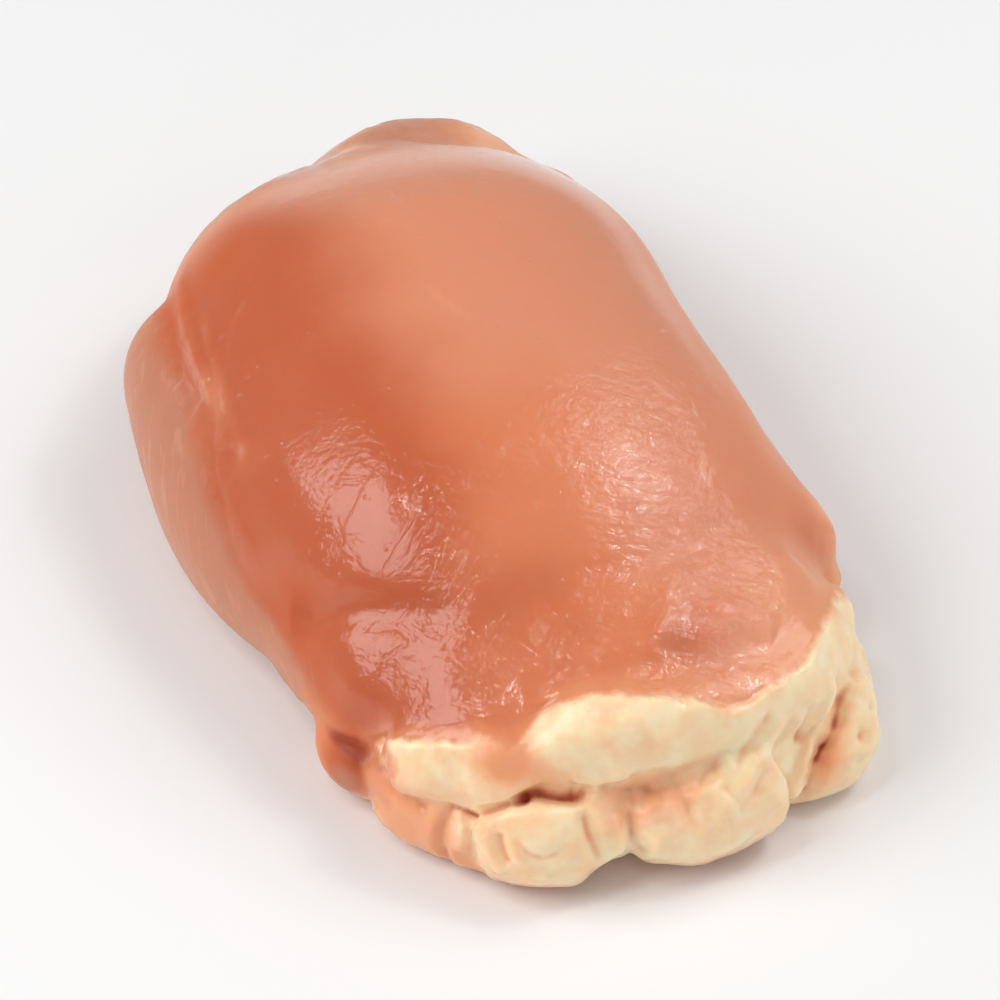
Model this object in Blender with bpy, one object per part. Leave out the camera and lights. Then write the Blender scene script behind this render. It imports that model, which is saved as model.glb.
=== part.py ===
"""A raw boneless, skinless chicken thigh, laid smooth side up with its flaps folded under it.

One piece of meat, so one solid. It is fused from rounded lobes, each one a muscle or a fold of
fat, and pressed flat where it lies on the table. Metres, +Z up. The origin is on the table under
the middle of the piece, +Y runs along the meat towards its plain back end, and the end with the
folded fat faces -Y.
"""

import bmesh
import bpy
import numpy as np

MM = 0.001

# The real length. Every size below is on a pattern about 120 long, which is scaled to it
LENGTH = 110 * MM

# The main muscle, the wrap that is folded over everything else: its sections along Y, each with
# a half width to the left and to the right and a crest height
WRAP_Y = (-31, -22, -10, 6, 22, 38, 54, 67)
WRAP_LEFT = (24, 27, 29, 31, 32, 32, 30.5, 26.5)
WRAP_RIGHT = (28, 33, 37, 34, 32, 32.5, 31, 26)
WRAP_CREST = (24, 30, 34, 36, 37, 37, 33, 29)
WRAP_BELLY = 13
WRAP_UNDER = 17
WRAP_END_POWER = 2.8
WRAP_SIDE_POWER = 2.25
WRAP_UNDER_POWER = 2.8

# Lobes of lean meat: centre, radii, and turns about Y and then Z in degrees
LEAN_LOBES = {
    "side_roll": ((-23.5, 20, 11), (13.5, 30, 13), (0, 4)),
    "side_roll_back": ((-24.5, 36, 13), (12, 13, 13), (0, 12)),
    "front_left_roll": ((-17, -10, 11), (12, 14, 12), (0, -14)),
    "right_corner": ((26, -9.5, 12), (11, 8, 10), (0, 0)),
    "front_underside": ((2, -27, 7), (22, 9, 8), (0, 0)),
    "back_flap": ((8, 61, 11), (17, 12.5, 13), (0, 8)),
    "back_bump": ((22, 55.5, 9.5), (8, 8, 10.5), (0, 0)),
    "left_tab": ((-21.5, -16.5, 6), (7.5, 8, 6.5), (0, -14)),
}

# The brow: lean meat that carries the wrap's surface on to the lip of fat. Each place with a radius
BROW = (
    (-21, -19, 12, 5), (-12, -25, 15, 6), (-2, -27, 17, 7), (9, -28, 18, 7),
    (19, -26, 17, 7), (27, -19, 15, 7),
)

# Rolls of fat at the front end: the places that each one runs through, each with its radius
FAT_ROLLS = {
    "lip": (
        (-21, -24, 10, 5.5), (-13, -30.5, 13.5, 6), (-6, -33, 14.5, 5.5), (0, -34, 16.5, 7),
        (9, -34.5, 16.5, 6.5), (19, -32, 14.5, 7), (26, -26, 12.5, 7), (30.5, -18, 12, 5.5),
    ),
    "left_apron": (
        (-20.5, -22, 9, 5), (-18.5, -25.5, 5.5, 6.5), (-13, -30.5, 4.5, 7.5), (-9, -34, 4, 6),
    ),
    "left_curl": ((-14, -34, 5, 6), (-7, -37, 6.5, 7.5), (0, -36.5, 6, 6)),
    "right_curl": ((2, -37.5, 6, 6), (9, -39, 6.5, 7.5), (17, -37, 7, 7)),
    "curl_bed": ((-8, -32, 5, 6), (0, -34, 5, 7), (8, -33, 5, 6)),
    "right_wall": ((8, -32, 14, 7), (15, -33, 10, 7.5), (19, -32, 6, 7)),
    "corner_knob": ((29.5, -24, 10, 5.5), (28, -28.5, 7, 6.5), (25, -32.5, 5, 6.5)),
    "corner_fold": ((29, -29, 10, 5), (27, -34, 5, 6), (20, -34, 4, 6)),
}

# How finely each lobe is drawn, and how wide the cells are in which the lobes are fused
LOBE_RINGS = 40
LOBE_SPOKES = 64
FUSE_VOXEL = 1.1

# How quickly a roll closes at its ends, and how far an end bulges out in parts of its radius
ROLL_END_SHARPNESS = 2.2
ROLL_END_BULGE = 0.5

# Rounds of smoothing: many melt the lean lobes together, few keep the creases of the fat
LEAN_SMOOTHING = 16
FOLD_SMOOTHING = 2
TRIANGLES = 8000

# The seam underneath, where the two folded flaps meet: its course, its depth, its half width and
# the height at which it has faded out
SEAM = ((-3, -44), (-5, -30), (-2, -10), (4, 12), (3, 34), (-3, 50), (-6, 62))
SEAM_DEPTH = 3.2
SEAM_HALF_WIDTH = 2.6
SEAM_REACH = 7

# The meat sags on the table: what would lie lower is pressed level, with this height of rounding
PRESS_SOFTNESS = 2.2


def curve_through(values, at):
    """A smooth curve through the values, which stand at 0, 1, 2 and so on: Catmull-Rom."""
    values = np.asarray(values, float)
    last = len(values) - 1
    low = np.clip(np.floor(at).astype(int), 0, last)
    ends = [np.clip(low + step, 0, last) for step in (-1, 0, 1, 2)]
    p0, p1, p2, p3 = (values[end] for end in ends)
    t = at - low
    if values.ndim > 1:
        t = t[:, None]
    bend = 2 * p0 - 5 * p1 + 4 * p2 - p3
    return 0.5 * (2 * p1 + (p2 - p0) * t + bend * t**2 + (3 * p1 - p0 - 3 * p2 + p3) * t**3)


def signed_power(value, power):
    """value to a power, with its sign kept."""
    return np.sign(value) * np.abs(value) ** power


def ball_grid():
    """Two angles for each ring and spoke of a ball, as columns: along and around."""
    along = np.linspace(-np.pi / 2, np.pi / 2, LOBE_RINGS + 1)[1:-1]
    around = np.linspace(-np.pi, np.pi, LOBE_SPOKES, endpoint=False)
    along, around = np.meshgrid(along, around, indexing="ij")
    return along.ravel(), around.ravel()


def ringed_mesh(name, points, first, last):
    """A closed mesh from rings of points, with a fan to a first and a last point at its ends."""
    rings = len(points) // LOBE_SPOKES
    ring = np.arange(LOBE_SPOKES)
    after = (ring + 1) % LOBE_SPOKES
    faces = []
    for row in range(rings - 1):
        low, high = row * LOBE_SPOKES, (row + 1) * LOBE_SPOKES
        faces.append(np.stack((low + ring, low + after, high + after, high + ring), axis=1))
    quads = np.concatenate(faces).tolist()
    start, end = len(points), len(points) + 1
    top = (rings - 1) * LOBE_SPOKES
    fans = np.concatenate((
        np.stack((after, ring, np.full(LOBE_SPOKES, start)), axis=1),
        np.stack((top + ring, top + after, np.full(LOBE_SPOKES, end)), axis=1),
    )).tolist()
    mesh = bpy.data.meshes.new(name)
    corners = np.concatenate((points, [first, last]))
    mesh.from_pydata(corners.tolist(), [], quads + fans)
    return mesh


def wrap_mesh():
    """The wrap: a superellipse along Y, whose sections are set by the stations."""
    along, around = ball_grid()
    run = signed_power(np.sin(along), 2 / WRAP_END_POWER)
    girth = signed_power(np.cos(along), 2 / WRAP_END_POWER)
    middle, half = (WRAP_Y[-1] + WRAP_Y[0]) / 2, (WRAP_Y[-1] - WRAP_Y[0]) / 2
    y = middle + run * half
    at = np.interp(y, WRAP_Y, np.arange(len(WRAP_Y)))
    across = signed_power(np.cos(around), 2 / WRAP_SIDE_POWER)
    power = np.where(around > 0, WRAP_SIDE_POWER, WRAP_UNDER_POWER)
    upward = signed_power(np.sin(around), 2 / power)
    width = np.where(across < 0, curve_through(WRAP_LEFT, at), curve_through(WRAP_RIGHT, at))
    height = np.where(upward > 0, curve_through(WRAP_CREST, at) - WRAP_BELLY, WRAP_UNDER)
    points = np.stack((across * girth * width, y, WRAP_BELLY + upward * girth * height), axis=1)
    first, last = (0, WRAP_Y[0], WRAP_BELLY), (0, WRAP_Y[-1], WRAP_BELLY)
    return ringed_mesh("wrap", points, first, last)


def turned(points, tilt, turn):
    """Points turned about Y by tilt and then about Z by turn, in degrees."""
    tilt, turn = np.radians(tilt), np.radians(turn)
    x, y, z = points.T
    x, z = x * np.cos(tilt) + z * np.sin(tilt), z * np.cos(tilt) - x * np.sin(tilt)
    x, y = x * np.cos(turn) - y * np.sin(turn), x * np.sin(turn) + y * np.cos(turn)
    return np.stack((x, y, z), axis=1)


def lobe_mesh(name, centre, radii, turns):
    """An ellipsoid, turned and placed."""
    along, around = ball_grid()
    ball = np.stack(
        (np.cos(around) * np.cos(along), np.sin(along), np.sin(around) * np.cos(along)), axis=1
    )
    ends = np.array([(0, -1, 0), (0, 1, 0)], float)
    points, ends = (turned(part * radii, *turns) + centre for part in (ball, ends))
    return ringed_mesh(name, points, ends[0], ends[1])


def roll_mesh(name, places):
    """A round roll along a smooth curve through the places, with rounded ends."""
    places = np.array(places, float)
    along = np.linspace(-np.pi / 2, np.pi / 2, LOBE_RINGS + 1)[1:-1]
    around = np.linspace(-np.pi, np.pi, LOBE_SPOKES, endpoint=False)
    at = (np.sin(along) + 1) / 2 * (len(places) - 1)
    line = curve_through(places, at)
    run = np.gradient(curve_through(places, np.linspace(0, len(places) - 1, 400)), axis=0)
    run = run[(at / (len(places) - 1) * 399).astype(int), :3]
    run /= np.linalg.norm(run, axis=1)[:, None]
    side = np.cross(run, (0, 0.3, 1))
    side /= np.linalg.norm(side, axis=1)[:, None]
    up = np.cross(side, run)
    # the rings close towards each end like half a ball
    cap = np.clip(np.cos(along) * ROLL_END_SHARPNESS, 0, 1)
    radius = line[:, 3] * np.sqrt(1 - (1 - cap) ** 2)
    around = around[None, :, None]
    spoke = np.cos(around) * side[:, None] + np.sin(around) * up[:, None]
    points = (line[:, None, :3] + spoke * radius[:, None, None]).reshape(-1, 3)
    first = places[0, :3] - run[0] * places[0, 3] * ROLL_END_BULGE
    last = places[-1, :3] + run[-1] * places[-1, 3] * ROLL_END_BULGE
    return ringed_mesh(name, points, first, last)


def outward(mesh):
    """Turns the faces of a closed mesh outwards."""
    shell = bmesh.new()
    shell.from_mesh(mesh)
    bmesh.ops.recalc_face_normals(shell, faces=shell.faces[:])
    shell.to_mesh(mesh)
    shell.free()


def fused(name, meshes, smoothing):
    """One skin round all the meshes, with the joints rounded as flesh rounds them."""
    group = bmesh.new()
    for mesh in meshes:
        outward(mesh)
        group.from_mesh(mesh)
    joined = bpy.data.meshes.new(name)
    group.to_mesh(joined)
    group.free()
    body = bpy.data.objects.new(name, joined)
    bpy.context.scene.collection.objects.link(body)
    remesh = body.modifiers.new("one_skin", "REMESH")
    remesh.mode = "VOXEL"
    remesh.voxel_size = FUSE_VOXEL
    smooth = body.modifiers.new("rounding", "SMOOTH")
    smooth.factor = 0.5
    smooth.iterations = smoothing
    graph = bpy.context.evaluated_depsgraph_get()
    mesh = bpy.data.meshes.new_from_object(body.evaluated_get(graph))
    bpy.data.objects.remove(body)
    return mesh


def distance_to(course, x, y):
    """How far each x, y is from a smooth curve through the course."""
    at = np.linspace(0, len(course) - 1, 200)
    line = curve_through(course, at)
    apart = np.hypot(x[:, None] - line[:, 0], y[:, None] - line[:, 1])
    return apart.min(axis=1)


def settled(mesh):
    """Presses the underside flat, opens the seam in it, then gives the meat its length and place."""
    points = np.empty(len(mesh.vertices) * 3)
    mesh.vertices.foreach_get("co", points)
    x, y, z = points.reshape(-1, 3).T
    # z eases towards the table as it nears it, and stops there
    depth = z / PRESS_SOFTNESS
    eased = np.where(depth >= 1, depth, np.where(depth <= -1, 0, (depth + 1) ** 2 / 4))
    z = eased * PRESS_SOFTNESS
    # the seam is a groove that fades out with height
    opening = np.exp(-((distance_to(SEAM, x, y) / SEAM_HALF_WIDTH) ** 2))
    z = z + SEAM_DEPTH * opening * np.clip(1 - z / SEAM_REACH, 0, 1)
    places = np.stack((x, y, z), axis=1)
    low, high = places.min(axis=0), places.max(axis=0)
    under_middle = ((low[0] + high[0]) / 2, (low[1] + high[1]) / 2, low[2])
    print("pattern from", low.round(2), "to", high.round(2))
    places = (places - under_middle) * LENGTH / (high[1] - low[1])
    mesh.vertices.foreach_set("co", places.ravel())


def thinned(made, triangles):
    """Gives the object about this many triangles."""
    triangulate = made.modifiers.new("triangles", "TRIANGULATE")
    triangulate.quad_method = "BEAUTY"
    thin = made.modifiers.new("thin", "DECIMATE")
    thin.use_collapse_triangulate = True
    corners = sum(len(face.vertices) - 2 for face in made.data.polygons)
    thin.ratio = triangles / corners


def report_size(made):
    """Prints the size and the weight of the meat, for checking."""
    graph = bpy.context.evaluated_depsgraph_get()
    shell = bmesh.new()
    shell.from_mesh(made.evaluated_get(graph).data)
    places = np.array([vertex.co for vertex in shell.verts]) / MM
    print("from", places.min(axis=0).round(2), "to", places.max(axis=0).round(2), "mm")
    print("volume", round(shell.calc_volume() / MM**3 / 1000, 1), "cm3, triangles", len(shell.faces))
    shell.free()


def flesh_material():
    flesh = bpy.data.materials.new("raw_thigh")
    flesh.use_nodes = True
    surface = flesh.node_tree.nodes["Principled BSDF"]
    surface.inputs["Base Color"].default_value = (0.62, 0.22, 0.13, 1)
    surface.inputs["Roughness"].default_value = 0.35
    return flesh


def main():
    for old in list(bpy.data.objects):
        bpy.data.objects.remove(old)
    lean = [wrap_mesh()] + [lobe_mesh(name, *size) for name, size in LEAN_LOBES.items()]
    lean.append(roll_mesh("brow", BROW))
    flesh = fused("flesh", lean, LEAN_SMOOTHING)
    fat = [roll_mesh(name, places) for name, places in FAT_ROLLS.items()]
    meat = fused("meat", [flesh, *fat], FOLD_SMOOTHING)
    settled(meat)
    thigh = bpy.data.objects.new("chicken_thigh", meat)
    bpy.context.scene.collection.objects.link(thigh)
    thigh.data.materials.append(flesh_material())
    thinned(thigh, TRIANGLES)
    report_size(thigh)


main()
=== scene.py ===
# %% [markdown]
# # A raw chicken thigh
# A boneless, skinless thigh is one sheet of muscle under a thin shiny membrane. It is sold folded
# up, smooth side out, with a roll of cream fat showing at one end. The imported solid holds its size
# and its main lobes. This script gives it a finer skin made of the same lobes, then the wrinkles,
# folds and colours that the solid leaves out.

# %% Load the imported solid
import math

import bmesh
import bpy
import numpy as np
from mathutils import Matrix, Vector


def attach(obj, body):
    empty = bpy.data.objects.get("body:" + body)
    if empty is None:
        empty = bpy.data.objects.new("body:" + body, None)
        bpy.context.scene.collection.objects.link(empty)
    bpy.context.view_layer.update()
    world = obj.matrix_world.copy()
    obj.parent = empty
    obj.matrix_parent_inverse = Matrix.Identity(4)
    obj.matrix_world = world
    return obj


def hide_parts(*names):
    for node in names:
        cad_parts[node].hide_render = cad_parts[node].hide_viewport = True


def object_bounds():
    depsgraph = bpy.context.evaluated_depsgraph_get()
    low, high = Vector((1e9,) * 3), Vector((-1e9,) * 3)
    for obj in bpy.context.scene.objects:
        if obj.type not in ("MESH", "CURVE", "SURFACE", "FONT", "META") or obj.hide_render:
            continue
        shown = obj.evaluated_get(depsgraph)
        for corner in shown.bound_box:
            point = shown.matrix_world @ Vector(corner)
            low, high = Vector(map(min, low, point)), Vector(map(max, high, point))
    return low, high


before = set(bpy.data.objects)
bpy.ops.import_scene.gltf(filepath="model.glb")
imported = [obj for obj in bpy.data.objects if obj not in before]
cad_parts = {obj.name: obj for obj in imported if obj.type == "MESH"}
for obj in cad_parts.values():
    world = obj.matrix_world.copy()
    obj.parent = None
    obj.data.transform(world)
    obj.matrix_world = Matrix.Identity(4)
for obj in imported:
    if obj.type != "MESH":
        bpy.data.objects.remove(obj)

cad_low, cad_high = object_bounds()
MM = 1000  # millimetres in a metre


def in_mm(corner):
    """A corner in millimetres, rounded, for printing."""
    return [round(v * MM, 1) for v in corner]


print("solid from", in_mm(cad_low), "to", in_mm(cad_high), "mm")

# %% [markdown]
# ## The lobes
# Meat has no straight edges: it is a pile of soft, rounded muscles pressed into each other. So the
# thigh is drawn as lobes that overlap. The wrap is the big muscle on top. The lean lobes are the
# smaller muscles that show at its sides. The rolls are the folds of fat at the front. They could be
# sculpted by hand, but lobes that are worked out from sizes can be measured against the solid and
# changed one at a time. All sizes are in millimetres on a pattern that is scaled to the real length
# at the end.

# %% Sizes of the wrap and the lean lobes
# from front to back: where each station is, how far the wrap reaches left and right there, and how
# high its crest is
WRAP_Y = (-31, -22, -10, 6, 22, 38, 54, 67)
WRAP_LEFT = (24, 27, 29, 31, 32, 32, 30.5, 26.5)
WRAP_RIGHT = (28, 33, 37, 34, 32, 32.5, 31, 26)
WRAP_CREST = (24, 30, 34, 36, 37, 37, 33, 29)
WRAP_BELLY = 13
WRAP_UNDER = 17
WRAP_END_POWER = 2.8
WRAP_SIDE_POWER = 2.25
WRAP_UNDER_POWER = 2.8

# each is a centre, three radii, and a tilt about Y and a turn about Z in degrees
LEAN_LOBES = {
    "side_roll": ((-23.5, 20, 11), (13.5, 30, 13), (0, 4)),
    "side_roll_back": ((-24.5, 36, 13), (12, 13, 13), (0, 12)),
    "front_left_roll": ((-17, -10, 11), (12, 14, 12), (0, -14)),
    "left_hip": ((-21.5, -4, 9.5), (9.7, 11, 8), (0, 0)),
    "right_corner": ((27.5, -10, 12), (11.7, 8.5, 10.5), (0, 0)),
    "front_underside": ((2, -27, 7), (22, 9, 8), (0, 0)),
    "back_flap": ((8, 61, 11), (17, 12.5, 13), (0, 8)),
    "back_bump": ((22, 55.5, 9.5), (8, 8, 10.5), (0, 0)),
}

# the brow is a roll along the front edge of the wrap: each place is a middle and a radius
BROW = (
    (-21, -19, 12, 5), (-12, -25, 15, 6), (-2, -27, 17, 7), (9, -28, 18, 7),
    (19, -26, 17, 7), (27, -19, 15, 7),
)

# %% Sizes of the rolls of fat
# each roll is a row of places, and each place a middle and a radius
FAT_ROLLS = {
    "lip": (
        (-21, -24, 10, 5.5), (-13, -30.5, 13.5, 6), (-6, -33, 14.5, 5.5), (0, -34, 16.5, 7),
        (9, -34.5, 16.5, 6.5), (19, -32, 14.5, 7), (26, -26, 12.5, 7), (30.5, -18, 12, 5.5),
    ),
    "left_apron": (
        (-20.5, -22, 9, 5), (-18.5, -25.5, 5.5, 6.5), (-13, -30.5, 4.5, 7.5), (-9, -34, 4, 6),
    ),
    "left_curl": ((-14, -34, 5, 6), (-7, -37, 6.5, 7.5), (0, -36.5, 6, 6)),
    "right_curl": ((2, -37.5, 6, 6), (9, -39, 6.5, 7.5), (17, -37, 7, 7)),
    "curl_bed": ((-8, -32, 5, 6), (0, -34, 5, 7), (8, -33, 5, 6)),
    "right_wall": ((8, -32, 14, 7), (15, -33, 10, 7.5), (19, -32, 6, 7)),
    "corner_knob": ((29.5, -24, 10, 5.5), (28, -28.5, 7, 6.5), (25, -32.5, 5, 6.5)),
    "corner_fold": ((29, -29, 10, 5), (27, -34, 5, 6), (20, -34, 4, 6)),
}

# the small muscle that peeps out under the wrap at the front left
LEFT_TAB = ((-21.6, -16.9, 5), (7.3, 8, 6.2), (0, -20))

# %% [markdown]
# ## From sizes to surfaces
# Each lobe is a grid of points over two parameters: one runs along the lobe from end to end, the
# other goes round it. A ball with its powers changed is a superellipsoid, which can be fuller or
# squarer than a ball. A roll is the same grid carried along a curve.

# %% Curves and grids
LOBE_RINGS = 56
LOBE_SPOKES = 96
ROLL_END_SHARPNESS = 2.2
ROLL_END_BULGE = 0.5
ROLL_SAMPLES = 400
# no roll runs in this direction, so the rings' own directions can be worked out from it
ROLL_UPRIGHT = (0, 0.3, 1)


def curve_through(values, at):
    """Catmull-Rom: between two values, a cubic whose slopes come from the values on either side."""
    values = np.asarray(values, float)
    last = len(values) - 1
    low = np.clip(np.floor(at).astype(int), 0, last)
    ends = [np.clip(low + step, 0, last) for step in (-1, 0, 1, 2)]
    p0, p1, p2, p3 = (values[end] for end in ends)
    t = at - low
    if values.ndim > 1:
        t = t[:, None]
    bend = 2 * p0 - 5 * p1 + 4 * p2 - p3
    return 0.5 * (2 * p1 + (p2 - p0) * t + bend * t**2 + (3 * p1 - p0 - 3 * p2 + p3) * t**3)


def signed_power(value, power):
    """The size of the value to the power, with the value's own sign."""
    return np.sign(value) * np.abs(value) ** power


def ring_angles():
    """The angle from end to end, without the two poles, and the angle round the lobe."""
    along = np.linspace(-np.pi / 2, np.pi / 2, LOBE_RINGS + 1)[1:-1]
    around = np.linspace(-np.pi, np.pi, LOBE_SPOKES, endpoint=False)
    return along, around


def ball_grid():
    """Both angles for every point of the grid, as two columns."""
    along, around = np.meshgrid(*ring_angles(), indexing="ij")
    return along.ravel(), around.ravel()


def ringed_mesh(name, points, first, last):
    """Quads between neighbouring rings, and a fan of triangles to the pole at each end."""
    ring = np.arange(LOBE_SPOKES)
    after = (ring + 1) % LOBE_SPOKES
    rows = np.arange(len(points) // LOBE_SPOKES - 1)[:, None] * LOBE_SPOKES
    corners = (rows + ring, rows + after, rows + LOBE_SPOKES + after, rows + LOBE_SPOKES + ring)
    quads = np.stack(corners, axis=-1).reshape(-1, 4).tolist()
    top = len(points) - LOBE_SPOKES
    start = np.stack((after, ring, np.full(LOBE_SPOKES, len(points))), axis=1)
    end = np.stack((top + ring, top + after, np.full(LOBE_SPOKES, len(points) + 1)), axis=1)
    mesh = bpy.data.meshes.new(name)
    places = np.concatenate((points, [first, last]))
    mesh.from_pydata(places.tolist(), [], quads + start.tolist() + end.tolist())
    return mesh


# %% The three kinds of lobe
def wrap_mesh():
    """
    Along Y a superellipse: y = middle + half * sin(u)^(2/p), girth = cos(u)^(2/p).
    Across it another: x = width(y) * girth * cos(v)^(2/q), z = belly + height(y) * girth *
    sin(v)^(2/q), where width and height are smooth curves through the stations.
    """
    along, around = ball_grid()
    run = signed_power(np.sin(along), 2 / WRAP_END_POWER)
    girth = signed_power(np.cos(along), 2 / WRAP_END_POWER)
    middle, half = (WRAP_Y[-1] + WRAP_Y[0]) / 2, (WRAP_Y[-1] - WRAP_Y[0]) / 2
    y = middle + run * half
    at = np.interp(y, WRAP_Y, np.arange(len(WRAP_Y)))
    across = signed_power(np.cos(around), 2 / WRAP_SIDE_POWER)
    power = np.where(around > 0, WRAP_SIDE_POWER, WRAP_UNDER_POWER)
    upward = signed_power(np.sin(around), 2 / power)
    width = np.where(across < 0, curve_through(WRAP_LEFT, at), curve_through(WRAP_RIGHT, at))
    height = np.where(upward > 0, curve_through(WRAP_CREST, at) - WRAP_BELLY, WRAP_UNDER)
    points = np.stack((across * girth * width, y, WRAP_BELLY + upward * girth * height), axis=1)
    first, last = (0, WRAP_Y[0], WRAP_BELLY), (0, WRAP_Y[-1], WRAP_BELLY)
    return ringed_mesh("wrap", points, first, last)


def turned(points, tilt, turn):
    """The points turned about Y by tilt and then about Z by turn, in degrees."""
    tilt, turn = np.radians(tilt), np.radians(turn)
    x, y, z = points.T
    x, z = x * np.cos(tilt) + z * np.sin(tilt), z * np.cos(tilt) - x * np.sin(tilt)
    x, y = x * np.cos(turn) - y * np.sin(turn), x * np.sin(turn) + y * np.cos(turn)
    return np.stack((x, y, z), axis=1)


def lobe_mesh(name, centre, radii, turns):
    """A ball times three radii, turned, and moved to its centre."""
    along, around = ball_grid()
    ball = np.stack(
        (np.cos(around) * np.cos(along), np.sin(along), np.sin(around) * np.cos(along)), axis=1
    )
    ends = np.array([(0, -1, 0), (0, 1, 0)], float)
    points, ends = (turned(part * radii, *turns) + centre for part in (ball, ends))
    return ringed_mesh(name, points, ends[0], ends[1])


def roll_line(places, at):
    """The places and radii of a roll's middle line, and the direction it runs in."""
    places = np.array(places, float)
    last = len(places) - 1
    run = np.gradient(curve_through(places, np.linspace(0, last, ROLL_SAMPLES)), axis=0)
    run = run[(at / last * (ROLL_SAMPLES - 1)).astype(int), :3]
    return curve_through(places, at), run / np.linalg.norm(run, axis=1)[:, None]


def roll_mesh(name, places):
    """
    Rings carried along a smooth curve. Each lies across the curve's direction, and its radius is
    the place's radius times sqrt(1 - (1 - c)^2), where c falls from 1 to 0 towards each end.
    """
    along, around = ring_angles()
    at = (np.sin(along) + 1) / 2 * (len(places) - 1)
    line, run = roll_line(places, at)
    side = np.cross(run, ROLL_UPRIGHT)
    side /= np.linalg.norm(side, axis=1)[:, None]
    up = np.cross(side, run)
    cap = np.clip(np.cos(along) * ROLL_END_SHARPNESS, 0, 1)
    radius = line[:, 3] * np.sqrt(1 - (1 - cap) ** 2)
    around = around[None, :, None]
    spoke = np.cos(around) * side[:, None] + np.sin(around) * up[:, None]
    points = (line[:, None, :3] + spoke * radius[:, None, None]).reshape(-1, 3)
    first = np.array(places[0][:3]) - run[0] * places[0][3] * ROLL_END_BULGE
    last = np.array(places[-1][:3]) + run[-1] * places[-1][3] * ROLL_END_BULGE
    return ringed_mesh(name, points, first, last)


# %% [markdown]
# ## Fusing the lobes
# A Boolean union would leave a sharp line wherever two lobes meet. Voxel remesh throws one even net
# over everything and forgets what is inside, and smoothing then melts the joints. The lean lobes
# are melted a lot, because a membrane is stretched over them. The fat is added afterwards and
# melted very little, so that its folds keep dark, narrow creases.

# %% Fuse
SKIN_VOXEL = 0.7
LEAN_SMOOTHING = 40
FOLD_SMOOTHING = 3


def fused(name, meshes, smoothing):
    """All the meshes joined, remeshed as one skin, and smoothed this many times."""
    group = bmesh.new()
    for mesh in meshes:
        shell = bmesh.new()
        shell.from_mesh(mesh)
        bmesh.ops.recalc_face_normals(shell, faces=shell.faces[:])
        shell.to_mesh(mesh)
        shell.free()
        group.from_mesh(mesh)
    joined = bpy.data.meshes.new(name)
    group.to_mesh(joined)
    group.free()
    body = bpy.data.objects.new(name, joined)
    bpy.context.scene.collection.objects.link(body)
    remesh = body.modifiers.new("one_skin", "REMESH")
    remesh.mode = "VOXEL"
    remesh.voxel_size = SKIN_VOXEL
    smooth = body.modifiers.new("rounding", "SMOOTH")
    smooth.factor = 0.5
    smooth.iterations = smoothing
    graph = bpy.context.evaluated_depsgraph_get()
    mesh = bpy.data.meshes.new_from_object(body.evaluated_get(graph))
    bpy.data.objects.remove(body)
    return mesh


lean = [wrap_mesh()] + [lobe_mesh(name, *size) for name, size in LEAN_LOBES.items()]
lean.append(roll_mesh("brow", BROW))
flesh = fused("flesh", lean, LEAN_SMOOTHING)
folded = [roll_mesh(name, places) for name, places in FAT_ROLLS.items()]
folded.append(lobe_mesh("left_tab", *LEFT_TAB))
meat = fused("meat", [flesh, *folded], FOLD_SMOOTHING)
print("the skin has", len(meat.vertices), "points")

# %% A finer net at the front
FINE_IN_FRONT_OF = -18


def refine(mesh, limit):
    """Cuts each face in front of the limit into four."""
    shell = bmesh.new()
    shell.from_mesh(mesh)
    near = [face for face in shell.faces if face.calc_center_median().y < limit]
    edges = list({edge for face in near for edge in face.edges})
    bmesh.ops.subdivide_edges(shell, edges=edges, cuts=1, use_grid_fill=True)
    shell.to_mesh(mesh)
    shell.free()


refine(meat, FINE_IN_FRONT_OF)
triangles = sum(len(face.vertices) - 2 for face in meat.polygons)
print("with a finer front it has", len(meat.vertices), "points and", triangles, "triangles")

# %% [markdown]
# ## Resting on the table
# Raw meat is soft, so its own weight flattens it where it lies. Each point's height is eased
# towards the table as it comes near and stops there, which leaves a flat foot with a rounded edge.
# The two flaps that are folded under meet in a seam, and the seam stays open as a groove.

# %% Settle
PRESS_SOFTNESS = 2.2
SEAM = ((-3, -44), (-5, -30), (-2, -10), (4, 12), (3, 34), (-3, 50), (-6, 62))
SEAM_DEPTH = 3.2
SEAM_HALF_WIDTH = 2.6
SEAM_REACH = 7
CURVE_STEPS = 24
BLOCK = 8192


def distance_to(course, points):
    """How far each point is from a smooth curve through the course, worked out in blocks."""
    line = curve_through(course, np.linspace(0, len(course) - 1, CURVE_STEPS * len(course)))
    nearest = np.empty(len(points))
    for start in range(0, len(points), BLOCK):
        part = points[start:start + BLOCK, None, :] - line[None]
        nearest[start:start + BLOCK] = np.sqrt((part**2).sum(axis=2).min(axis=1))
    return nearest


def read_points(mesh):
    """The mesh's points, as rows of x, y and z."""
    points = np.empty(len(mesh.vertices) * 3)
    mesh.vertices.foreach_get("co", points)
    return points.reshape(-1, 3)


def write_points(mesh, points):
    """Moves the mesh's points to these places."""
    mesh.vertices.foreach_set("co", np.ascontiguousarray(points).ravel())
    mesh.update()


def settled(points):
    """z = softness * ((z / softness + 1) / 2)^2 near the table, plus the seam's groove."""
    points = points.copy()
    depth = points[:, 2] / PRESS_SOFTNESS
    eased = np.where(depth >= 1, depth, np.where(depth <= -1, 0, (depth + 1) ** 2 / 4))
    z = eased * PRESS_SOFTNESS
    opening = np.exp(-((distance_to(SEAM, points[:, :2]) / SEAM_HALF_WIDTH) ** 2))
    points[:, 2] = z + SEAM_DEPTH * opening * np.clip(1 - z / SEAM_REACH, 0, 1)
    return points


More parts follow.
